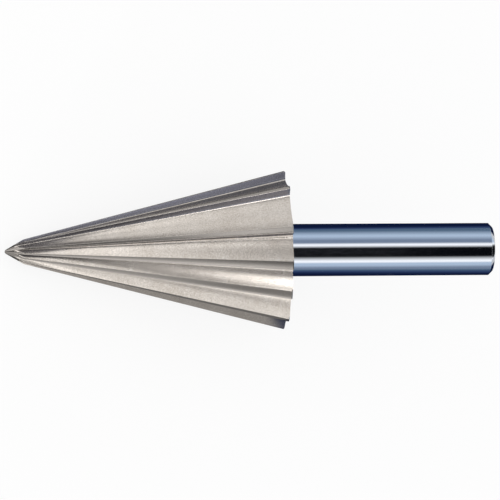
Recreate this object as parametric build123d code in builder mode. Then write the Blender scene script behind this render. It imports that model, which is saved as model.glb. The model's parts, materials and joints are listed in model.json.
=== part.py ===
from build123d import *
import math
import os

# Taper reamer for plumbing pipe, all one piece of steel: a round shank for a drill chuck and a
# fluted cone that ends in a ground point. It lies on one of its flutes. The point rests at the
# -X end, the shank rises towards +X, and the origin is on the floor, below the middle of the
# whole tool. Sizes are in millimetres and degrees.

# Head, measured across the cutting edges
head_diameter = 30.3
head_length = 53.3
rear_edge_break = 0.2

# Ground point
point_angle = 60.0
point_diameter = 4.7
tip_radius = 0.45

# Teeth. Each pitch is the angle from one cutting edge to the next. They are unequal, so that the
# tool doesn't chatter, and the same six come again on the other half of the head. Each land lies
# behind its tooth's edge, and its width is measured at the wide end. The flutes get shallower
# towards the point. A flute's depth is measured to the sharp corner that its gullet rounds, and the
# hollow of a tooth's back is a share of the back's width.
tooth_pitches = (26.8, 37.5, 32.0, 34.5, 25.8, 23.4)
land_widths = (1.65, 1.2, 0.8, 1.2, 1.1, 1.9)
rear_flute_depth = 1.65
point_flute_depth = 0.6
rear_gullet_radius = 0.7
point_gullet_radius = 0.15
back_hollow = 0.06

# Shank
shank_diameter = 10.0
shank_length = 40.0
root_radius = 0.4
end_chamfer = 0.7

# Centre hole in the shank's end
centre_diameter = 3.2
centre_angle = 60.0
centre_drill_diameter = 1.5
centre_drill_depth = 3.5

# Taper of the head. Every cutting edge runs to one apex, a little beyond the tip.
head_radius = head_diameter / 2
point_radius = point_diameter / 2
point_half_angle = math.radians(point_angle / 2)
tip_cut = tip_radius / math.sin(point_half_angle) - tip_radius
point_length = point_radius / math.tan(point_half_angle) - tip_cut
tapered_length = head_length - point_length
taper_slope = (head_radius - point_radius) / tapered_length
apex_height = head_radius / taper_slope

# Angles of the teeth about the axis, where 180 degrees is straight down
pitch_scale = 180 / sum(tooth_pitches)
pitches = [pitch * pitch_scale for pitch in tooth_pitches]
land_angles = [math.degrees(width / head_radius) for width in land_widths]
first_edge_angle = 180 - (pitches[0] + land_angles[0]) / 2

# Lie of the tool on the edge and the land on either side of its lowest flute
resting_half_angle = math.radians((pitches[0] - land_angles[0]) / 2)
lie_angle = math.atan(taper_slope * math.cos(resting_half_angle))
along_x = math.cos(lie_angle)
along_z = math.sin(lie_angle)
to_shank = Vector(along_x, 0, along_z)
upward = Vector(-along_z, 0, along_x)

# Place of the apex on the floor, with the tool's two ends at equal distances from the origin
tip_start = (apex_height - head_length + tip_radius) * along_x - tip_radius
end_face_radius = shank_diameter / 2 - end_chamfer
shank_end = (apex_height + shank_length) * along_x + end_face_radius * along_z
apex = Vector(-(tip_start + shank_end) / 2, 0, 0)
rear_plane = Plane(origin=apex + to_shank * apex_height, x_dir=upward, z_dir=-to_shank)
shank_end_centre = rear_plane.origin + to_shank * shank_length
end_plane = Plane(origin=shank_end_centre, x_dir=upward, z_dir=to_shank)


def around_axis(radius, degrees):
    return Vector(radius, 0).rotate(Axis.Z, degrees)


def between(rear_size, point_size, share):
    return rear_size + (point_size - rear_size) * share


with BuildPart() as reamer:
    # Fluted cone: the outline of the teeth at both ends of the head, joined by straight lines
    for height in (0, head_length):
        share = height / tapered_length
        land_radius = taper_slope * (apex_height - height)
        floor_radius = land_radius - between(rear_flute_depth, point_flute_depth, share)
        gullet_radius = between(rear_gullet_radius, point_gullet_radius, share)
        with BuildSketch(rear_plane.offset(height)) as section:
            with BuildLine():
                edge_angle = first_edge_angle
                for pitch, land_angle in zip(pitches * 2, land_angles * 2):
                    next_edge_angle = edge_angle + pitch
                    edge = around_axis(land_radius, edge_angle)
                    land_middle = around_axis(land_radius, edge_angle + land_angle / 2)
                    land_end = around_axis(land_radius, edge_angle + land_angle)
                    gullet = around_axis(floor_radius, next_edge_angle)
                    next_edge = around_axis(land_radius, next_edge_angle)
                    hollow = back_hollow * (gullet - land_end).length
                    ThreePointArc(edge, land_middle, land_end)
                    SagittaArc(land_end, gullet, hollow)
                    Line(gullet, next_edge)
                    edge_angle = next_edge_angle
            make_face()
            corners = section.vertices()
            gullets = corners.filter_by(
                lambda corner: math.isclose(math.hypot(corner.X, corner.Y), floor_radius, abs_tol=1e-6)
            )
            fillet(gullets, gullet_radius)
    loft(ruled=True)

    # Ground point and the broken edge of the rear face, both turned
    tip_centre = head_length - tip_radius
    clear_radius = head_radius + 1
    with BuildSketch(Plane(origin=rear_plane.origin, x_dir=upward, z_dir=(0, -1, 0))) as turned:
        with BuildLine():
            tangent = (
                tip_radius * math.cos(point_half_angle),
                tip_centre + tip_radius * math.sin(point_half_angle),
            )
            nose_reach = (clear_radius - tangent[0]) / math.tan(point_half_angle)
            middle_angle = (math.pi / 2 + point_half_angle) / 2
            tip_middle = (
                tip_radius * math.cos(middle_angle),
                tip_centre + tip_radius * math.sin(middle_angle),
            )
            Polyline(
                (0, head_length),
                (0, 0),
                (head_radius - rear_edge_break, 0),
                (clear_radius, clear_radius - head_radius + rear_edge_break),
                (clear_radius, tangent[1] - nose_reach),
                tangent,
            )
            ThreePointArc(tangent, tip_middle, (0, head_length))
        make_face()
    revolve(axis=Axis(rear_plane.origin, to_shank), mode=Mode.INTERSECT)

    # Shank, with a small radius where it meets the rear face
    with BuildSketch(rear_plane):
        Circle(shank_diameter / 2)
    extrude(amount=-shank_length)
    shank_circles = reamer.edges().filter_by(GeomType.CIRCLE).filter_by(
        lambda circle: math.isclose(circle.radius, shank_diameter / 2, abs_tol=1e-6)
    )
    by_distance = shank_circles.sort_by(Axis(apex, to_shank))
    root_circle = by_distance[0]
    end_circle = by_distance[-1]
    fillet(root_circle, root_radius)
    chamfer(end_circle, end_chamfer)

    # Centre hole in the end of the shank
    with Locations(end_plane.location):
        CounterSinkHole(
            radius=centre_drill_diameter / 2,
            counter_sink_radius=centre_diameter / 2,
            depth=centre_drill_depth,
            counter_sink_angle=centre_angle,
        )

reamer.part.label = "reamer"

os.makedirs("parts", exist_ok=True)
export_step(reamer.part, "parts/reamer.step")
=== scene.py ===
# %% [markdown]
# # A plumber's taper reamer
#
# The tool is one piece of steel. A fluted cone opens out and cleans the end of a pipe, and a round
# shank goes into a drill chuck. The real one is made in two steps: a lathe turns a smooth blank,
# and a milling cutter then takes the flutes out of it. This script makes the surface in the same
# order, because then one rule decides every point: whichever cut goes deeper shows.
#
# The frame is loaded first. It holds the solid at its real size, lying as it comes to rest.

# %% Load the frame
import json
import math

import bpy
from mathutils import Matrix, Vector


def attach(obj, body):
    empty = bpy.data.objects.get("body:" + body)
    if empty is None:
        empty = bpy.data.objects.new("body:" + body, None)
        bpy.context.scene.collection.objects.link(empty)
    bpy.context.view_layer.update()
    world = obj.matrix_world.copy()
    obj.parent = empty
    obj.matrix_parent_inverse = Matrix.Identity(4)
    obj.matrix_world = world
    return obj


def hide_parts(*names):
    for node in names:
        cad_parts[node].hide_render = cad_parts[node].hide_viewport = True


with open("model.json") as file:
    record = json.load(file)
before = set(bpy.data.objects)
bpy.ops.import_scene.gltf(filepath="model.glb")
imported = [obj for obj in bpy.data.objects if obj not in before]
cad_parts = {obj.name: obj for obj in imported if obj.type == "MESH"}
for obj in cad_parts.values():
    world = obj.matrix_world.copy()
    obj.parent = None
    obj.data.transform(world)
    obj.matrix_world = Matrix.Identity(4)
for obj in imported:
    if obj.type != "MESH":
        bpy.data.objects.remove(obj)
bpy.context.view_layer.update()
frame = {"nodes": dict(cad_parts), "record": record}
print("nodes in the frame:", list(frame["nodes"]))

# %% [markdown]
# ## Sizes
#
# Blender works in metres, so each size is written in millimetres times `MM`. The tool lies on one
# of its flutes, and its axis rises towards the shank. That direction is read from the record's own
# mount for the shank, so it can't drift away from the solid.

# %% Sizes and the tool's own axes
MM = 0.001
HEAD_RADIUS = 15.15 * MM
HEAD_LENGTH = 53.3 * MM
REAR_EDGE_BREAK = 0.2 * MM
POINT_HALF_ANGLE = math.radians(30)
POINT_RADIUS = 2.35 * MM
TIP_RADIUS = 0.45 * MM
SHANK_RADIUS = 5.0 * MM
SHANK_LENGTH = 40.0 * MM
ROOT_RADIUS = 0.4 * MM
END_CHAMFER = 0.7 * MM
CENTRE_RADIUS = 1.6 * MM
CENTRE_DRILL_RADIUS = 0.75 * MM
CENTRE_DRILL_DEPTH = 3.5 * MM
CENTRE_HALF_ANGLE = math.radians(30)

tip_cut = TIP_RADIUS / math.sin(POINT_HALF_ANGLE) - TIP_RADIUS
point_length = POINT_RADIUS / math.tan(POINT_HALF_ANGLE) - tip_cut
taper_slope = (HEAD_RADIUS - POINT_RADIUS) / (HEAD_LENGTH - point_length)
apex_height = HEAD_RADIUS / taper_slope

shank_mount = frame["record"]["mounts"][0]
to_shank = Vector(shank_mount["axis"]).normalized()
upward = Vector((0, 1, 0)).cross(-to_shank).normalized()
sideways = (-to_shank).cross(upward)
plain_length = shank_mount["dims"]["length_mm"] * MM
rear_centre = Vector(shank_mount["pos_m"]) - to_shank * (plain_length / 2 + ROOT_RADIUS)

lie = Matrix((upward, sideways, -to_shank)).transposed().to_4x4()
lie.translation = rear_centre
print("axis rises by", round(math.degrees(math.asin(to_shank.z)), 2), "degrees")
print("apex lies", round(apex_height / MM, 2), "mm from the rear face")

# %% [markdown]
# ## The turned blank
#
# A lathe follows a line of radius against distance. Here that line is a chain of vertices, from the
# bottom of the centre hole round to the tip, with the radius in x and the distance in z. Rings are
# closer together where something happens: at the broken corners, and on the point, where the flutes
# run out. A tiny round on each corner catches the light as a real edge does.

# %% Outline of the turned blank
CORNER_ROUND = 0.06 * MM
REAR_FACE_RINGS = (7.5 * MM, 10.5 * MM, 13.2 * MM)
HEAD_STEP = 1.0 * MM
RUN_OUT_LENGTH = 1.0 * MM
RUN_OUT_STEP = 0.07 * MM
NOSE_STEP = 0.4 * MM


def rounded(corners, radius, steps=4):
    """The corners joined by straight lines, each inner corner replaced by a small round."""
    line = [corners[0]]
    for before, corner, after in zip(corners, corners[1:], corners[2:]):
        back = (before - corner).normalized()
        ahead = (after - corner).normalized()
        half_angle = back.angle(ahead) / 2
        reach = radius / math.tan(half_angle)
        middle = corner + (back + ahead).normalized() * (radius / math.sin(half_angle))
        start = corner + back * reach - middle
        end = corner + ahead * reach - middle
        for step in range(steps + 1):
            line.append(middle + start.slerp(end, step / steps) * radius)
    return line + [corners[-1]]


def evenly(start, end, step):
    """Distances between start and end, in equal steps no longer than the one asked for."""
    count = max(1, math.ceil(abs(end - start) / step))
    return [start + (end - start) * index / count for index in range(1, count)]


def at(radius, distance):
    return Vector((radius, 0, distance))


countersink_depth = (CENTRE_RADIUS - CENTRE_DRILL_RADIUS) / math.tan(CENTRE_HALF_ANGLE)
shank_end = rounded(
    [
        at(0, CENTRE_DRILL_DEPTH - SHANK_LENGTH),
        at(CENTRE_DRILL_RADIUS, CENTRE_DRILL_DEPTH - SHANK_LENGTH),
        at(CENTRE_DRILL_RADIUS, countersink_depth - SHANK_LENGTH),
        at(CENTRE_RADIUS, -SHANK_LENGTH),
        at(SHANK_RADIUS - END_CHAMFER, -SHANK_LENGTH),
        at(SHANK_RADIUS, END_CHAMFER - SHANK_LENGTH),
        at(SHANK_RADIUS, -SHANK_LENGTH / 2),
    ],
    CORNER_ROUND,
)
root = [
    at(
        SHANK_RADIUS + ROOT_RADIUS - ROOT_RADIUS * math.cos(math.radians(angle)),
        ROOT_RADIUS * math.sin(math.radians(angle)) - ROOT_RADIUS,
    )
    for angle in range(0, 91, 10)
]
rear_face = [at(radius, 0) for radius in REAR_FACE_RINGS]
break_end = REAR_EDGE_BREAK / (1 + taper_slope)
rear_edge = [
    at(HEAD_RADIUS - REAR_EDGE_BREAK, 0),
    at(HEAD_RADIUS - REAR_EDGE_BREAK + break_end, break_end),
]


def taper_radius(distance):
    return (apex_height - distance) * taper_slope


shoulder = HEAD_LENGTH - point_length
flutes_end = shoulder + RUN_OUT_LENGTH
point_apex = HEAD_LENGTH + tip_cut


def point_radius_at(distance):
    return (point_apex - distance) * math.tan(POINT_HALF_ANGLE)


cone = [at(taper_radius(z), z) for z in evenly(break_end, shoulder, HEAD_STEP)]
cone.append(at(POINT_RADIUS, shoulder))
tip_centre = HEAD_LENGTH - TIP_RADIUS
tip_start = tip_centre + TIP_RADIUS * math.sin(POINT_HALF_ANGLE)
run_out = [at(point_radius_at(z), z) for z in evenly(shoulder, flutes_end, RUN_OUT_STEP)]
nose = [at(point_radius_at(z), z) for z in evenly(flutes_end, tip_start, NOSE_STEP)]
tip = [
    at(
        TIP_RADIUS * math.cos(math.radians(angle)),
        tip_centre + TIP_RADIUS * math.sin(math.radians(angle)),
    )
    for angle in range(30, 91, 10)
]
blank_line = shank_end + root + rear_face + rear_edge + cone + run_out + nose + tip

blank = bpy.data.meshes.new("turned blank")
blank.from_pydata(blank_line, [(i, i + 1) for i in range(len(blank_line) - 1)], [])
reamer = bpy.data.objects.new("plumbers_reamer", blank)
bpy.context.scene.collection.objects.link(reamer)
print("the blank's outline has", len(blank_line), "points")

# %% [markdown]
# ## Two small helpers
#
# Colours are written as the sRGB hex values that a picture editor shows. Blender mixes light in
# linear values, so one function turns a hex value into those. A second one adds a node, sets it and
# links it, so that a tree reads as a list of what it does. Its inputs go by name, or by number
# where names repeat. On a Mix node, 4 and 5 are the two vectors, and 6 and 7 the two colours.

# %% Colour and node helpers
def linear(hex_colour):
    """An sRGB hex colour as linear red, green, blue and alpha."""
    channels = [int(hex_colour[place:place + 2], 16) / 255 for place in (1, 3, 5)]
    return tuple(
        value / 12.92 if value <= 0.04045 else ((value + 0.055) / 1.055) ** 2.4
        for value in channels
    ) + (1.0,)


def add_node(tree, kind, inputs=None, **settings):
    """A new node with its settings, and its inputs set to values or linked to sockets."""
    node = tree.nodes.new(kind)
    for name, value in settings.items():
        setattr(node, name, value)
    for socket, value in (inputs or {}).items():
        if isinstance(value, bpy.types.NodeSocket):
            tree.links.new(value, node.inputs[socket])
        else:
            node.inputs[socket].default_value = value
    return node


print("the grey of the blasted flutes in linear light:", linear("#D8D0C8"))

# %% [markdown]
# ## The flutes, as a rule
#
# Seen from the end, the head is a ring of saw teeth. Each tooth has a cutting edge, a narrow land
# behind it that rubs on the pipe, a hollow back, and a rounded gullet at the foot of the next
# tooth's cutting face. The teeth aren't evenly spaced: six pitches come twice, which keeps the tool
# from chattering. Geometry Nodes are a good way to make this, because the whole outline follows
# from a few sizes, and they stay open to change as named inputs.
#
# The work is split in two trees. The first draws the outline of the teeth at one place on the head,
# as one closed curve, and rounds its corners with Fillet Curve. The second calls it twice, at the
# rear face and at the tip, and draws straight lines between the two.

# %% Tree for one outline of the teeth
TOOTH_PITCHES = (26.8, 37.5, 32.0, 34.5, 25.8, 23.4)
TEETH = 12
STATIONS = 20
LAND_STATIONS = 4
HALF_A_STATION = 0.5
PITCH_NAMES = [f"Pitch {number}" for number in range(1, len(TOOTH_PITCHES) + 1)]
LAND_NAMES = [f"Land {number}" for number in range(1, len(TOOTH_PITCHES) + 1)]
OUTLINE_SIZES = ["Radius", "Flute Depth", "Gullet Radius", "Edge Round"]
SHARED_SIZES = ["Back Hollow", "First Edge"] + PITCH_NAMES + LAND_NAMES

tree = outline_tree = bpy.data.node_groups.new("tooth outline", "GeometryNodeTree")
for name in OUTLINE_SIZES + SHARED_SIZES:
    tree.interface.new_socket(name, in_out="INPUT", socket_type="NodeSocketFloat")
tree.interface.new_socket("Outline", in_out="OUTPUT", socket_type="NodeSocketGeometry")
given = add_node(tree, "NodeGroupInput").outputs
print("an outline takes:", ", ".join(OUTLINE_SIZES + SHARED_SIZES))

# %% [markdown]
# Every point of the outline knows its own number. Divided by the stations on a tooth, the number
# gives the tooth, and what is left over gives the station: 0 is the cutting edge, 4 the end of the
# land, and the last one the gullet.

# %% Tooth, station and angle of each outline point
outline = add_node(tree, "GeometryNodeMeshLine", {"Count": TEETH * STATIONS})
number = add_node(tree, "GeometryNodeInputIndex").outputs[0]
tooth = add_node(
    tree, "FunctionNodeIntegerMath", {0: number, 1: STATIONS}, operation="DIVIDE_FLOOR"
).outputs[0]
station = add_node(
    tree, "FunctionNodeIntegerMath", {0: number, 1: STATIONS}, operation="MODULO"
).outputs[0]
of_six = add_node(
    tree, "FunctionNodeIntegerMath", {0: tooth, 1: len(TOOTH_PITCHES)}, operation="MODULO"
)


def of_this_tooth(names):
    """The tooth's own angle, out of six inputs that serve each half turn."""
    choice = add_node(tree, "GeometryNodeIndexSwitch", data_type="FLOAT")
    while len(choice.index_switch_items) < len(names):
        choice.index_switch_items.new()
    tree.links.new(of_six.outputs[0], choice.inputs["Index"])
    for place, name in enumerate(names, start=1):
        tree.links.new(given[name], choice.inputs[place])
    return choice.outputs[0]


pitch = of_this_tooth(PITCH_NAMES)
land_turned = of_this_tooth(LAND_NAMES)
is_edge = add_node(
    tree, "FunctionNodeCompare", {0: station, 1: HALF_A_STATION}, operation="LESS_THAN"
)
counted = add_node(
    tree, "ShaderNodeMath", {0: pitch, 1: is_edge.outputs[0]}, operation="MULTIPLY"
)
pitch_sum = add_node(tree, "GeometryNodeAccumulateField", {"Value": counted.outputs[0]})
next_angle = add_node(
    tree, "ShaderNodeMath", {0: given["First Edge"], 1: pitch_sum.outputs["Leading"]},
    operation="ADD",
).outputs[0]
edge_angle = add_node(
    tree, "ShaderNodeMath", {0: next_angle, 1: pitch}, operation="SUBTRACT"
).outputs[0]
print("outline points before rounding:", TEETH * STATIONS)

# %% [markdown]
# The land is a stretch of the blank's own circle. The back runs from the land's end down to the
# gullet, pulled in by a shallow parabola, which is the hollow that the round cutter leaves. The
# share of the back that is passed, times the share that is left, makes such a parabola. It is a
# quarter in the middle, so it is taken four times, with a minus because the pull is inward. The
# back's last station stops short of the gullet, which leaves room for the gullet's round.

# %% Land, hollow back and gullet
BACK_STOPS_AT = 0.88
FULL_PULL = -4.0

on_land = add_node(
    tree, "ShaderNodeMath", {0: station, 1: 1.0 / LAND_STATIONS}, operation="MULTIPLY",
    use_clamp=True,
).outputs[0]
land_turn = add_node(
    tree, "ShaderNodeMath", {0: on_land, 1: land_turned, 2: edge_angle},
    operation="MULTIPLY_ADD",
).outputs[0]
on_circle = add_node(tree, "ShaderNodeCombineXYZ", {"X": given["Radius"]})
land_point = add_node(
    tree, "ShaderNodeVectorRotate", {"Vector": on_circle.outputs[0], "Angle": land_turn},
    rotation_type="Z_AXIS",
).outputs[0]
floor_radius = add_node(
    tree, "ShaderNodeMath", {0: given["Radius"], 1: given["Flute Depth"]}, operation="SUBTRACT"
)
on_floor = add_node(tree, "ShaderNodeCombineXYZ", {"X": floor_radius.outputs[0]})
gullet = add_node(
    tree, "ShaderNodeVectorRotate", {"Vector": on_floor.outputs[0], "Angle": next_angle},
    rotation_type="Z_AXIS",
).outputs[0]
back_line = add_node(
    tree, "ShaderNodeVectorMath", {0: gullet, 1: land_point}, operation="SUBTRACT"
).outputs[0]
back_width = add_node(tree, "ShaderNodeVectorMath", {0: back_line}, operation="LENGTH")
last_before_gullet = STATIONS - 2
along_back = add_node(
    tree, "ShaderNodeMapRange",
    {
        "Value": station,
        "From Min": float(LAND_STATIONS),
        "From Max": float(last_before_gullet),
        "To Min": 0.0,
        "To Max": BACK_STOPS_AT,
    },
).outputs[0]
is_gullet = add_node(
    tree, "FunctionNodeCompare", {0: station, 1: STATIONS - 1 - HALF_A_STATION},
    operation="GREATER_THAN",
).outputs[0]
share = add_node(
    tree, "ShaderNodeMath", {0: along_back, 1: is_gullet}, operation="MAXIMUM"
).outputs[0]
share_left = add_node(tree, "ShaderNodeMath", {0: 1.0, 1: share}, operation="SUBTRACT").outputs[0]
arch = add_node(tree, "ShaderNodeMath", {0: share, 1: share_left}, operation="MULTIPLY").outputs[0]
pull_share = add_node(
    tree, "ShaderNodeMath", {0: arch, 1: given["Back Hollow"]}, operation="MULTIPLY"
).outputs[0]
pull = add_node(
    tree, "ShaderNodeMath", {0: pull_share, 1: back_width.outputs["Value"]}, operation="MULTIPLY"
)
pull_in = add_node(
    tree, "ShaderNodeMath", {0: pull.outputs[0], 1: FULL_PULL}, operation="MULTIPLY"
)
straight = add_node(
    tree, "ShaderNodeVectorMath", {0: back_line, "Scale": share}, operation="SCALE"
).outputs[0]
chord_point = add_node(
    tree, "ShaderNodeVectorMath", {0: land_point, 1: straight}, operation="ADD"
).outputs[0]
outward = add_node(tree, "ShaderNodeVectorMath", {0: chord_point}, operation="NORMALIZE").outputs[0]
hollow = add_node(
    tree, "ShaderNodeVectorMath", {0: outward, "Scale": pull_in.outputs[0]}, operation="SCALE"
).outputs[0]
tooth_point = add_node(
    tree, "ShaderNodeVectorMath", {0: chord_point, 1: hollow}, operation="ADD"
).outputs[0]
placed = add_node(
    tree, "GeometryNodeSetPosition", {"Geometry": outline.outputs[0], "Position": tooth_point}
)
print("stations on a land:", LAND_STATIONS, "and on a back:", last_before_gullet - LAND_STATIONS)

# %% [markdown]
# A freshly ground edge still has a tiny round, less than a tenth of a millimetre. Modelled, it
# gives each tooth the thin bright line that the eye expects of steel. Fillet Curve takes a radius
# for each point, so one node rounds the edges and the gullets.

# %% Rounded edges and gullets
EXTRA_ROUND_POINTS = 6.0

loop = add_node(tree, "GeometryNodeMeshToCurve", {"Mesh": placed.outputs[0]})
closed = add_node(
    tree, "GeometryNodeSetSplineCyclic", {"Geometry": loop.outputs[0], "Cyclic": True}
)
from_land_end = add_node(
    tree, "ShaderNodeMath", {0: station, 1: float(LAND_STATIONS)}, operation="SUBTRACT"
).outputs[0]
land_distance = add_node(
    tree, "ShaderNodeMath", {0: from_land_end}, operation="ABSOLUTE"
).outputs[0]
is_land_end = add_node(
    tree, "FunctionNodeCompare", {0: land_distance, 1: HALF_A_STATION}, operation="LESS_THAN"
).outputs[0]
is_corner = add_node(
    tree, "ShaderNodeMath", {0: is_edge.outputs[0], 1: is_land_end}, operation="MAXIMUM"
).outputs[0]
corner_round = add_node(
    tree, "ShaderNodeMath", {0: is_corner, 1: given["Edge Round"]}, operation="MULTIPLY"
).outputs[0]
round_radius = add_node(
    tree, "ShaderNodeMath", {0: is_gullet, 1: given["Gullet Radius"], 2: corner_round},
    operation="MULTIPLY_ADD",
).outputs[0]
more_points = add_node(
    tree, "ShaderNodeMath", {0: is_corner, 1: is_gullet}, operation="MAXIMUM"
).outputs[0]
round_points = add_node(
    tree, "ShaderNodeMath", {0: more_points, 1: EXTRA_ROUND_POINTS, 2: 1.0},
    operation="MULTIPLY_ADD",
).outputs[0]
rounded_loop = add_node(
    tree, "GeometryNodeFilletCurve",
    {
        "Curve": closed.outputs[0],
        "Count": round_points,
        "Radius": round_radius,
        "Limit Radius": True,
    },
    mode="POLY",
)
add_node(tree, "NodeGroupOutput", {"Outline": rounded_loop.outputs[0]})
print("nodes in the tree for one outline:", len(tree.nodes))

# %% [markdown]
# ## The whole tool
#
# The second tree takes the blank's line and the sizes of the flutes at the rear face and at the
# tip. The named sizes below are the ones that were read from the photo. The flutes are straight, so
# their sizes at the tip follow from those at the rear face and where the point begins.

# %% Tree for the whole tool, with its named inputs
LAND_WIDTHS = (1.65 * MM, 1.2 * MM, 0.8 * MM, 1.2 * MM, 1.1 * MM, 1.9 * MM)
REAR_FLUTE_DEPTH = 1.65 * MM
POINT_FLUTE_DEPTH = 0.6 * MM
REAR_GULLET_RADIUS = 0.7 * MM
POINT_GULLET_RADIUS = 0.15 * MM
REAR_EDGE_ROUND = 0.09 * MM
POINT_EDGE_ROUND = 0.03 * MM
BACK_HOLLOW = 0.06


def carried_on(rear_size, point_size):
    """A size given at the rear face and where the point begins, carried on to the tip."""
    return rear_size + (point_size - rear_size) * HEAD_LENGTH / shoulder


land_angles = [width / HEAD_RADIUS for width in LAND_WIDTHS]
sizes = {
    "Rear Radius": HEAD_RADIUS,
    "Rear Flute Depth": REAR_FLUTE_DEPTH,
    "Rear Gullet Radius": REAR_GULLET_RADIUS,
    "Rear Edge Round": REAR_EDGE_ROUND,
    "Front Radius": taper_radius(HEAD_LENGTH),
    "Front Flute Depth": carried_on(REAR_FLUTE_DEPTH, POINT_FLUTE_DEPTH),
    "Front Gullet Radius": carried_on(REAR_GULLET_RADIUS, POINT_GULLET_RADIUS),
    "Front Edge Round": carried_on(REAR_EDGE_ROUND, POINT_EDGE_ROUND),
    "Head Length": HEAD_LENGTH,
    "Back Hollow": BACK_HOLLOW,
    "First Edge": math.pi - (math.radians(TOOTH_PITCHES[0]) + land_angles[0]) / 2,
}
sizes.update({name: math.radians(pitch) for name, pitch in zip(PITCH_NAMES, TOOTH_PITCHES)})
sizes.update(zip(LAND_NAMES, land_angles))

tree = bpy.data.node_groups.new("milled flutes", "GeometryNodeTree")
tree.interface.new_socket("Blank", in_out="INPUT", socket_type="NodeSocketGeometry")
for name in sizes:
    tree.interface.new_socket(name, in_out="INPUT", socket_type="NodeSocketFloat")
tree.interface.new_socket("Tool", in_out="OUTPUT", socket_type="NodeSocketGeometry")
given = add_node(tree, "NodeGroupInput").outputs


def outline_at(end):
    """The outline of the teeth at one end of the head."""
    drawn = add_node(tree, "GeometryNodeGroup", node_tree=outline_tree)
    for name in OUTLINE_SIZES:
        tree.links.new(given[f"{end} {name}"], drawn.inputs[name])
    for name in SHARED_SIZES:
        tree.links.new(given[name], drawn.inputs[name])
    return drawn.outputs["Outline"]


rear_outline = outline_at("Rear")
front_outline = outline_at("Front")
print("named inputs:", ", ".join(sizes))

# %% [markdown]
# Now a grid is laid over the tool. It has a row for each point of the blank's line and a column for
# each point of the outline, with one column more to close the ring. Sample Index reads the right
# point of each by its number. A grid point keeps the blank's radius wherever that is the smaller
# one. That alone makes the flat rear face, the plain shank and the ground point, and it is why the
# flutes run out on the point in the same curved tips as on the real tool.

# %% Blank and flutes meet on one grid
CUT_SHOWS = 0.004 * MM
SAME_POINT = 0.0004 * MM
blank_points = add_node(
    tree, "GeometryNodeAttributeDomainSize", {"Geometry": given["Blank"]}
).outputs["Point Count"]
loop_points = add_node(
    tree, "GeometryNodeAttributeDomainSize", {"Geometry": rear_outline}, component="CURVE"
).outputs["Point Count"]
columns = add_node(
    tree, "FunctionNodeIntegerMath", {0: loop_points, 1: 1}, operation="ADD"
).outputs[0]
grid = add_node(
    tree, "GeometryNodeMeshGrid", {"Vertices X": blank_points, "Vertices Y": columns}
).outputs["Mesh"]
cell = add_node(tree, "GeometryNodeInputIndex").outputs[0]
row = add_node(
    tree, "FunctionNodeIntegerMath", {0: cell, 1: columns}, operation="DIVIDE_FLOOR"
).outputs[0]
column = add_node(
    tree, "FunctionNodeIntegerMath", {0: cell, 1: columns}, operation="MODULO"
).outputs[0]
round_column = add_node(
    tree, "FunctionNodeIntegerMath", {0: column, 1: loop_points}, operation="MODULO"
).outputs[0]
place = add_node(tree, "GeometryNodeInputPosition").outputs[0]


def point_of(geometry, index):
    """The place of one point of a geometry, by its number."""
    return add_node(
        tree, "GeometryNodeSampleIndex",
        {"Geometry": geometry, "Value": place, "Index": index},
        data_type="FLOAT_VECTOR",
    ).outputs[0]


blank_point = point_of(given["Blank"], row)
rear_point = point_of(rear_outline, round_column)
front_point = point_of(front_outline, round_column)
blank_parts = add_node(tree, "ShaderNodeSeparateXYZ", {0: blank_point}).outputs
distance = blank_parts["Z"]
share_ahead = add_node(
    tree, "ShaderNodeMath", {0: distance, 1: given["Head Length"]}, operation="DIVIDE",
    use_clamp=True,
).outputs[0]
flute_point = add_node(
    tree, "ShaderNodeMix", {"Factor": share_ahead, 4: rear_point, 5: front_point},
    data_type="VECTOR",
).outputs[1]
flute_radius = add_node(
    tree, "ShaderNodeVectorMath", {0: flute_point}, operation="LENGTH"
).outputs["Value"]
flute_direction = add_node(
    tree, "ShaderNodeVectorMath", {0: flute_point}, operation="NORMALIZE"
).outputs[0]
radius = add_node(
    tree, "ShaderNodeMath", {0: blank_parts["X"], 1: flute_radius}, operation="MINIMUM"
).outputs[0]
sideways_part = add_node(
    tree, "ShaderNodeVectorMath", {0: flute_direction, "Scale": radius}, operation="SCALE"
).outputs[0]
axial_part = add_node(tree, "ShaderNodeCombineXYZ", {"Z": distance}).outputs[0]
surface_point = add_node(
    tree, "ShaderNodeVectorMath", {0: sideways_part, 1: axial_part}, operation="ADD"
).outputs[0]
surface = add_node(
    tree, "GeometryNodeSetPosition", {"Geometry": grid, "Position": surface_point}
).outputs[0]
cut_depth = add_node(
    tree, "ShaderNodeMath", {0: blank_parts["X"], 1: flute_radius}, operation="SUBTRACT"
).outputs[0]
is_milled = add_node(
    tree, "FunctionNodeCompare", {0: cut_depth, 1: CUT_SHOWS}, operation="GREATER_THAN"
).outputs[0]
marked = add_node(
    tree, "GeometryNodeStoreNamedAttribute",
    {"Geometry": surface, "Name": "milled", "Value": is_milled},
)
merged = add_node(
    tree, "GeometryNodeMergeByDistance", {"Geometry": marked.outputs[0], "Distance": SAME_POINT}
)
print("rows on the grid:", len(blank_line))

# %% [markdown]
# ## Finishes
#
# The tool is one steel with four finishes. The hollow backs and the gullets were blasted after
# hardening: fine grit leaves a pale, matt grey with a soft speckle and no direction, and shade is
# painted darker into the corners. The lands, the point and the rear face were ground afterwards.
# They are smoother and mirror their surroundings, and the wheel left fine lines on them. The
# cutting faces were ground too, and a darker copy of that finish paints shade on them. The shank is
# polished bright.
#
# The patterns are given in real sizes: a noise whose scale is one over the size of its grains. All
# patterns go by the place on the tool itself, so they stay on it when it is turned.

# %% Blasted, ground and polished steel
GRIT = 0.25 * MM
PIT_DEPTH = 0.02 * MM
MOTTLE = 5 * MM
PAINTED_SHADE_REACH = 1.4 * MM
GRIND_LINE = 0.05 * MM
GRIND_DEPTH = 0.004 * MM
POLISH_LINE = 0.03 * MM
POLISH_DEPTH = 0.0006 * MM
LINE_LENGTH = 4 * MM


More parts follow.
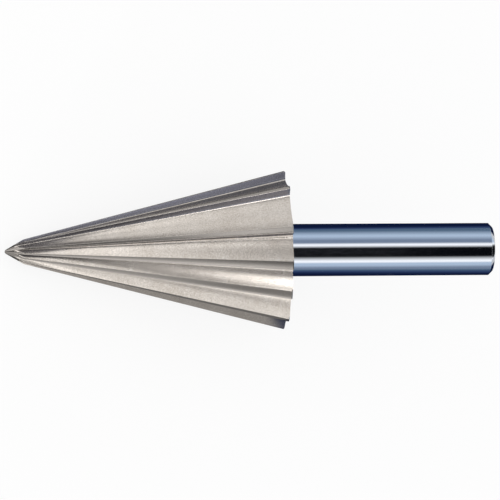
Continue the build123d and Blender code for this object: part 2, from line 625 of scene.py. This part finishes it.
def steel(name, hex_colour, roughness):
    """A metal with its base colour and roughness, its node tree, and its shader."""
    finish = bpy.data.materials.new(name)
    finish.use_nodes = True
    nodes = finish.node_tree
    surface_shader = nodes.nodes["Principled BSDF"]
    surface_shader.inputs["Metallic"].default_value = 1.0
    surface_shader.inputs["Base Color"].default_value = linear(hex_colour)
    surface_shader.inputs["Roughness"].default_value = roughness
    return finish, nodes, surface_shader


def noise(nodes, vector, grain, detail=3.0):
    """Grey noise with grains of a given size."""
    return add_node(
        nodes, "ShaderNodeTexNoise",
        {"Vector": vector, "Scale": 1 / grain, "Detail": detail, "Roughness": 0.6},
    ).outputs["Fac"]


def between(nodes, fac, low, high, first, second):
    """A colour that goes from the first to the second while fac goes from low to high."""
    ramp = add_node(nodes, "ShaderNodeValToRGB", {"Fac": fac})
    ramp.color_ramp.elements[0].position = low
    ramp.color_ramp.elements[0].color = linear(first)
    ramp.color_ramp.elements[1].position = high
    ramp.color_ramp.elements[1].color = linear(second)
    return ramp.outputs[0]


def multiplied(nodes, first, second, factor):
    """The first colour times the second, as far as the factor says."""
    return add_node(
        nodes, "ShaderNodeMix", {"Factor": factor, 6: first, 7: second}, data_type="RGBA",
        blend_type="MULTIPLY",
    ).outputs[2]


def emboss(nodes, surface_shader, pattern, strength, depth):
    """The relief of a pattern, as bump on the shader."""
    relief = add_node(
        nodes, "ShaderNodeBump", {"Height": pattern, "Strength": strength, "Distance": depth}
    )
    nodes.links.new(relief.outputs[0], surface_shader.inputs["Normal"])


def lines_round_axis(nodes, spacing):
    """Noise drawn out round the tool's axis, as a wheel or a belt leaves it."""
    place = add_node(nodes, "ShaderNodeTexCoord").outputs["Object"]
    along = add_node(
        nodes, "ShaderNodeVectorMath", {0: place, 1: tuple(to_shank)}, operation="DOT_PRODUCT"
    ).outputs["Value"]
    stretched = add_node(
        nodes, "ShaderNodeMath", {0: along, 1: LINE_LENGTH / spacing}, operation="MULTIPLY"
    ).outputs[0]
    around = add_node(nodes, "ShaderNodeSeparateXYZ", {0: place}).outputs
    drawn_out = add_node(
        nodes, "ShaderNodeCombineXYZ", {"X": stretched, "Y": around["Y"], "Z": around["Z"]}
    ).outputs[0]
    return noise(nodes, drawn_out, LINE_LENGTH)


blasted, nodes, shader = steel("blasted_tool_steel", "#D8D0C8", roughness=0.22)
position = add_node(nodes, "ShaderNodeTexCoord").outputs["Object"]
speckle = noise(nodes, position, GRIT)
grey = between(nodes, speckle, low=0.3, high=0.7, first="#C8C0B8", second="#E8E1D9")
clouds = between(
    nodes, noise(nodes, position, MOTTLE, detail=4.0),
    low=0.35, high=0.65, first="#DAD6D1", second="#FFFFFF",
)
mottled = multiplied(nodes, grey, clouds, factor=0.4)
# Painted shade: the base colour turns a dark brown-grey where ambient occlusion finds walls close
# by, in the gullets and corners.
openness = add_node(nodes, "ShaderNodeAmbientOcclusion", {"Distance": PAINTED_SHADE_REACH}).outputs["AO"]
painted_corner_shade = between(nodes, openness, low=0.3, high=0.72, first="#4C4844", second="#FFFFFF")
coloured = multiplied(nodes, mottled, painted_corner_shade, factor=1.0)
nodes.links.new(coloured, shader.inputs["Base Color"])
emboss(nodes, shader, speckle, strength=0.25, depth=PIT_DEPTH)


def ground_steel(name, hex_colour, smoothest, roughest):
    """Steel with the fine lines of a grinding wheel."""
    finish, nodes, shader = steel(name, hex_colour, smoothest)
    wheel_lines = lines_round_axis(nodes, GRIND_LINE)
    sheen = add_node(
        nodes, "ShaderNodeMapRange", {"Value": wheel_lines, "To Min": smoothest, "To Max": roughest}
    ).outputs[0]
    nodes.links.new(sheen, shader.inputs["Roughness"])
    emboss(nodes, shader, wheel_lines, strength=0.3, depth=GRIND_DEPTH)
    return finish


ground = ground_steel("ground_tool_steel", "#9C9792", smoothest=0.12, roughest=0.22)
# Painted shade: the cutting faces get a darker, bluer copy of the ground steel.
shaded_cutting_face_steel = ground_steel("cutting_face_painted_shade", "#77777D", smoothest=0.22, roughest=0.34)

polished, nodes, shader = steel("polished_steel_shank", "#D9DDE4", roughness=0.1)
belt_lines = lines_round_axis(nodes, POLISH_LINE)
emboss(nodes, shader, belt_lines, strength=0.1, depth=POLISH_DEPTH)
print("finishes:", blasted.name, ground.name, shaded_cutting_face_steel.name, polished.name)

# %% [markdown]
# The tree ends by giving each face its finish, each step over the one before. All is blasted at
# first. It is ground where the turned surface is still there. The cutting faces, which are the ones
# that look straight round the axis, get a darker copy of the ground steel as painted shade. Behind
# the head is the polished shank.

# %% End of the tree, and the finished mesh
HALF_MILLED = 0.5
LOOKS_ROUND_AXIS = 0.85
BEHIND_HEAD = -0.001 * MM
CREASE = math.radians(14)

face_place = add_node(tree, "GeometryNodeInputPosition").outputs[0]
face_distance = add_node(tree, "ShaderNodeSeparateXYZ", {0: face_place}).outputs["Z"]
cut_share = add_node(
    tree, "GeometryNodeInputNamedAttribute", {"Name": "milled"}, data_type="FLOAT"
).outputs[0]
kept_turned = add_node(
    tree, "FunctionNodeCompare", {0: cut_share, 1: HALF_MILLED}, operation="LESS_THAN"
).outputs[0]
round_direction = add_node(
    tree, "ShaderNodeVectorMath", {0: face_place, 1: (0.0, 0.0, 1.0)}, operation="CROSS_PRODUCT"
).outputs[0]
round_unit = add_node(
    tree, "ShaderNodeVectorMath", {0: round_direction}, operation="NORMALIZE"
).outputs[0]
face_normal = add_node(tree, "GeometryNodeInputNormal").outputs[0]
looks_round = add_node(
    tree, "ShaderNodeVectorMath", {0: face_normal, 1: round_unit}, operation="DOT_PRODUCT"
).outputs["Value"]
looks_either_way = add_node(
    tree, "ShaderNodeMath", {0: looks_round}, operation="ABSOLUTE"
).outputs[0]
is_cutting_face = add_node(
    tree, "FunctionNodeCompare", {0: looks_either_way, 1: LOOKS_ROUND_AXIS},
    operation="GREATER_THAN",
).outputs[0]
behind_head = add_node(
    tree, "FunctionNodeCompare", {0: face_distance, 1: BEHIND_HEAD}, operation="LESS_THAN"
).outputs[0]
smooth = add_node(tree, "GeometryNodeSetShadeSmooth", {"Geometry": merged.outputs[0]})
dressed = add_node(tree, "GeometryNodeRealizeInstances", {"Geometry": smooth.outputs[0]})
for finish, chosen in (
    (blasted, True), (ground, kept_turned), (shaded_cutting_face_steel, is_cutting_face), (polished, behind_head),
):
    dressed = add_node(
        tree, "GeometryNodeSetMaterial",
        {"Geometry": dressed.outputs[0], "Selection": chosen, "Material": finish},
    )
add_node(tree, "NodeGroupOutput", {"Tool": dressed.outputs[0]})

cutter = reamer.modifiers.new("milled flutes", "NODES")
cutter.node_group = tree
for item in tree.interface.items_tree:
    if item.in_out == "INPUT" and item.name in sizes:
        cutter[item.identifier] = sizes[item.name]
mesh = bpy.data.meshes.new_from_object(
    reamer.evaluated_get(bpy.context.evaluated_depsgraph_get())
)
reamer.modifiers.remove(cutter)
# The blank has no finish of its own, and that leaves an empty slot in front of the four.
mesh.materials.pop(index=0)
reamer.data = mesh
mesh.transform(lie)
mesh.set_sharp_from_angle(angle=CREASE)
for slot, finish in enumerate(mesh.materials):
    print(finish.name, "on", sum(face.material_index == slot for face in mesh.polygons), "faces")

# %% [markdown]
# ## Clean normals on the head
#
# Beside the tiny rounds lie wide flat faces. Averaged evenly, the round's slope would leak into
# them and make them look pillowed. Weighted normals let the larger face win, and only the head
# needs them.

# %% Weighted normals on the head
head = reamer.vertex_groups.new(name="head")
head_points = [
    vertex.index for vertex in mesh.vertices
    if (vertex.co - rear_centre).dot(to_shank) < -BEHIND_HEAD
]
head.add(head_points, 1.0, "REPLACE")
weighting = reamer.modifiers.new("weighted normals", "WEIGHTED_NORMAL")
weighting.keep_sharp = True
weighting.vertex_group = head.name
finished = bpy.data.meshes.new_from_object(
    reamer.evaluated_get(bpy.context.evaluated_depsgraph_get())
)
reamer.modifiers.remove(weighting)
reamer.data = finished
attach(reamer, "root")
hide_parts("reamer")
print("head points with weighted normals:", len(head_points))

# %% [markdown]
# ## Floor
#
# The tool lies on white paper. A camera should see that paper as almost pure white, and yet the
# tool's soft shadow should show on it. So the paper has two parts: matt paper that takes the
# shadow, and a glow that only the camera sees. The glow's share sets how faint the shadow is.

# %% Floor
PAPER_REACH = 1.5
PAPER_ROUGHNESS = 0.9
CAMERA_GLOW = 0.8
GLOW_STRENGTH = 1.05

floor_mesh = bpy.data.meshes.new("paper floor")
corners = ((-1, -1), (1, -1), (1, 1), (-1, 1))
floor_mesh.from_pydata(
    [(x * PAPER_REACH, y * PAPER_REACH, 0) for x, y in corners], [], [(0, 1, 2, 3)]
)
floor = bpy.data.objects.new("paper_floor", floor_mesh)
bpy.context.scene.collection.objects.link(floor)
paper = bpy.data.materials.new("matt_white_paper")
paper.use_nodes = True
nodes = paper.node_tree
shader = nodes.nodes["Principled BSDF"]
shader.inputs["Base Color"].default_value = linear("#F4F4F4")
shader.inputs["Roughness"].default_value = PAPER_ROUGHNESS
glow = add_node(
    nodes, "ShaderNodeEmission", {"Color": linear("#FFFFFF"), "Strength": GLOW_STRENGTH}
)
seen = add_node(nodes, "ShaderNodeLightPath").outputs["Is Camera Ray"]
share_of_glow = add_node(nodes, "ShaderNodeMath", {0: seen, 1: CAMERA_GLOW}, operation="MULTIPLY")
mixed = add_node(
    nodes, "ShaderNodeMixShader",
    {0: share_of_glow.outputs[0], 1: shader.outputs[0], 2: glow.outputs[0]},
)
nodes.links.new(mixed.outputs[0], nodes.nodes["Material Output"].inputs["Surface"])
floor_mesh.materials.append(paper)
print("paper:", paper.name, "of which the camera sees a share of", CAMERA_GLOW, "as glow")

# %% [markdown]
# ## Camera
#
# The picture is taken from above, with the tool's axis level across it. The camera turns a little
# about that axis and leans a little towards the point, which is why the rim shows as a shallow
# curve. A long lens from two thirds of a metre away keeps the shank as thick at its end as at its
# root.

# %% Camera
CAMERA_TURN = math.radians(2.14)
CAMERA_LEAN = math.radians(6.5)
CAMERA_ROLL = math.radians(0.33)
CAMERA_DISTANCE = 0.684
AIM_AHEAD = 6.6 * MM
AIM_ABOVE = 0.07 * MM
FOCAL_LENGTH = 258.5
SENSOR_WIDTH = 36
FARTHEST_SEEN = 5

facing = upward * math.cos(CAMERA_TURN) - sideways * math.sin(CAMERA_TURN)
picture_up = upward * math.sin(CAMERA_TURN) + sideways * math.cos(CAMERA_TURN)
towards_camera = facing * math.cos(CAMERA_LEAN) - to_shank * math.sin(CAMERA_LEAN)
picture_right = picture_up.cross(towards_camera)
rolled_up = picture_up * math.cos(CAMERA_ROLL) + picture_right * math.sin(CAMERA_ROLL)
rolled_right = picture_right * math.cos(CAMERA_ROLL) - picture_up * math.sin(CAMERA_ROLL)
aim = rear_centre - to_shank * AIM_AHEAD + picture_up * AIM_ABOVE
camera_data = bpy.data.cameras.new("camera")
camera_data.lens = FOCAL_LENGTH
camera_data.sensor_width = SENSOR_WIDTH
camera_data.clip_end = FARTHEST_SEEN
camera = bpy.data.objects.new("camera", camera_data)
stand = Matrix((rolled_right, rolled_up, towards_camera)).transposed().to_4x4()
stand.translation = aim + towards_camera * CAMERA_DISTANCE
camera.matrix_world = stand
bpy.context.scene.collection.objects.link(camera)
bpy.context.scene.camera = camera
print("camera at", [round(value, 3) for value in stand.translation])

# %% [markdown]
# ## A tent for the reflections
#
# A polished round bar is a curved mirror: it shows a thin picture of everything round it, squeezed
# into bands along its length. So its look is made by what stands round it. Here that is a tent, a
# ring of paper round the tool's axis. A strip of the tent runs from one angle to another, where 0
# is towards the camera and 90 is up in the picture, and it blends into the next strip.
#
# The parts of the tool look at different parts of the tent. The shank sees the part behind the rim,
# the cutting faces see the part beside the head, and the backs and lands, which lean with the
# taper, see the part ahead of the point. Only reflections see the tent: the floor's light comes
# from the world alone.

# %% Tent and its light
TENT_RADIUS = 0.30
BLACK = ("#05060A", 1.0)
NAVY = ("#101C3C", 1.0)
DARK_BLUE = ("#34456C", 1.0)
SLATE = ("#768396", 1.3)
DEEP_SLATE = ("#5C738B", 1.0)
PALE_BLUE = ("#B0C0D2", 1.3)
COOL_WHITE = ("#E6E6F0", 2.4)
WHITE = ("#FFFFFF", 1.3)

tent_light = bpy.data.materials.new("tent_light")
tent_light.use_nodes = True
nodes = tent_light.node_tree
tone = add_node(nodes, "ShaderNodeAttribute", attribute_name="tone").outputs["Color"]
glow = add_node(nodes, "ShaderNodeEmission", {"Color": tone})
nodes.links.new(glow.outputs[0], nodes.nodes["Material Output"].inputs["Surface"])


def glowing_sheet(name, rows):
    """A sheet through rows of places, each with a tone. A bare number is a grey's strength."""
    across = len(rows[0])
    sheet = bpy.data.meshes.new(name)
    sheet.from_pydata(
        [place for row in rows for place, _ in row],
        [],
        [
            (first + k, first + k + 1, first + across + k + 1, first + across + k)
            for first in range(0, across * (len(rows) - 1), across)
            for k in range(across - 1)
        ],
    )
    tones = sheet.attributes.new("tone", "FLOAT_COLOR", "POINT")
    for point, (_, value) in zip(tones.data, [cell for row in rows for cell in row]):
        hex_colour, strength = value if isinstance(value, tuple) else ("#FFFFFF", value)
        point.color = [channel * strength for channel in linear(hex_colour)[:3]] + [1.0]
    panel = bpy.data.objects.new(name, sheet)
    bpy.context.scene.collection.objects.link(panel)
    sheet.materials.append(tent_light)
    panel.visible_camera = False
    panel.visible_shadow = False
    panel.visible_diffuse = False


def round_axis(angle, ahead):
    """A point of the tent, at an angle and at a distance in millimetres ahead of the rear face."""
    turn = math.radians(angle)
    direction = facing * math.cos(turn) + picture_up * math.sin(turn)
    return rear_centre - to_shank * ahead * MM + direction * TENT_RADIUS


def part_of_tent(name, stations, strips):
    """Strips from one angle to another, with a tone at each station ahead of the rear face."""
    glowing_sheet(
        name,
        [
            [(round_axis(angle, ahead), tone) for ahead, tone in zip(stations, tones)]
            for first, last, tones in strips
            for angle in (first, last)
        ],
    )


print("the tent stands", TENT_RADIUS, "m from the axis")

# %% [markdown]
# The shank's strips make its black line, the two white lines beside it, and the blues that go
# darker towards its sides. The head's part has a white strip for the one back that shines, and
# darker ones beside it that set the lands off from the backs. Its tones are greys, given as
# strengths.

# %% Strips of the tent
part_of_tent("shank_tent", (-500, -30), [
    (first, last, (tone, tone))
    for first, last, tone in (
        (100, 92, DEEP_SLATE), (66, 60, PALE_BLUE), (42, 31, SLATE), (23, 19, WHITE),
        (8, -30, BLACK), (-50, -55, WHITE), (-62, -72, PALE_BLUE), (-86, -88, SLATE),
        (-98, -100, SLATE),
    )
])
part_of_tent("cutting_face_tent", (-30, 0, 45), [
    (100, 40, (SLATE, SLATE, 1.0)),
    (10, 9, (0.5, 0.5, 0.7)),
    (4, -20, (COOL_WHITE, COOL_WHITE, COOL_WHITE)),
    (-26, -56, (0.7, 1.4, 2.7)),
    (-62, -100, (1.2, 1.2, 1.5)),
])
part_of_tent("head_tent", (45, 90, 105, 120, 145, 1500), [
    (100, 62, (0.8, 0.9, 1.2, 1.5, 1.4, 0.4)),
    (50, 38, (0.4, 0.4, 0.7, 0.9, 1.8, 0.4)),
    (34, 27, (0.3, 0.3, 1.1, 2.4, 0.1, 0.4)),
    (20, 18, (0.3, 0.3, 0.2, 0.2, 0.2, 0.4)),
    (10, -1, (3.2, 4.0, 0.4, 0.1, 0.1, 0.4)),
    (-5, -22, (0.1, 0.1, 0.1, 0.3, 0.7, 0.4)),
    (-26, -32, (0.4, 1.2, 0.5, 2.4, 1.6, 0.4)),
    (-38, -59, (0.8, 0.8, 1.2, 1.1, 0.7, 0.4)),
    (-62, -72, (1.0, 0.3, 0.3, 0.8, 0.8, 0.4)),
    (-75, -100, (1.6, 1.6, 1.6, 1.5, 1.3, 0.4)),
])
print("parts of the tent: shank, cutting faces, head")

# %% [markdown]
# The chamfer at the shank's end looks back along the tool, out of the tent's open end. A sheet
# behind it carries the shank's bands on, so that the chamfer doesn't show as a white ring. It hangs
# only on the side away from the camera, so that the end face and the rim still see the white world.

# %% Sheet at the tent's open end
END_SHEET_BEHIND = 500 * MM
END_SHEET_EDGES = (-200 * MM, -15 * MM)
end_bands = (
    (-300, PALE_BLUE), (-190, PALE_BLUE), (-155, WHITE), (-120, BLACK),
    (50, BLACK), (85, WHITE), (115, PALE_BLUE), (300, PALE_BLUE),
)
end_centre = rear_centre + to_shank * END_SHEET_BEHIND
glowing_sheet(
    "shank_end_sheet",
    [
        [
            (end_centre + picture_up * above * MM + facing * edge, tone)
            for edge in END_SHEET_EDGES
        ]
        for above, tone in end_bands
    ],
)
print("bands on the sheet behind the shank:", len(end_bands))

# %% [markdown]
# The tool also mirrors the table it lies on, because the steel of its lower half looks down at it.
# Four flat cards just above the floor give that part of the picture, and again only reflections see
# them. Each place on a card is x and y in millimetres, with its tone.

# %% Cards on the table
CARD_HEIGHT = 0.3
SHANK_CARD_ENDS = (5, 130)

shank_rows = {
    "upper_shank_card": (
        (4, NAVY), (42, NAVY), (80, DARK_BLUE), (160, DEEP_SLATE), (300, DEEP_SLATE),
    ),
    "lower_shank_card": (
        (-4, NAVY), (-24, NAVY), (-50, DARK_BLUE), (-120, DEEP_SLATE), (-300, SLATE),
    ),
}
cards = {
    name: [[(x, y, tone) for x in SHANK_CARD_ENDS] for y, tone in rows]
    for name, rows in shank_rows.items()
}
cards["upper_head_card"] = (
    ((5, 1, 0.02), (-46, 1, 0.02)),
    ((5, 78, 0.02), (-46, 3, 0.02)),
    ((5, 86, 0.9), (-46, 9, 0.9)),
    ((5, 300, 1.0), (-46, 250, 1.0)),
)
cards["lower_head_card"] = (
    ((5, -1, 0.6), (-46, -1, 0.1)),
    ((5, -12, 0.6), (-46, -4, 0.1)),
    ((5, -22, 0.35), (-46, -10, 0.4)),
    ((5, -52, 0.35), (-46, -28, 0.4)),
    ((5, -70, 1.0), (-46, -40, 1.0)),
)
for name, rows in cards.items():
    glowing_sheet(
        name, [[(Vector((x, y, CARD_HEIGHT)) * MM, tone) for x, y, tone in row] for row in rows]
    )
print("cards on the table:", ", ".join(cards))

# %% [markdown]
# ## World
#
# An even white world gives all the light that falls on the floor and on the sides that the tent
# doesn't reach. At this level a colour renders about as it is written.

# %% World
WORLD_STRENGTH = 0.8

world = bpy.data.worlds.new("studio")
bpy.context.scene.world = world
world.use_nodes = True
background = world.node_tree.nodes["Background"]
background.inputs["Color"].default_value = linear("#FFFFFF")
background.inputs["Strength"].default_value = WORLD_STRENGTH
bpy.context.scene.view_settings.view_transform = "Standard"
print("world strength:", WORLD_STRENGTH)
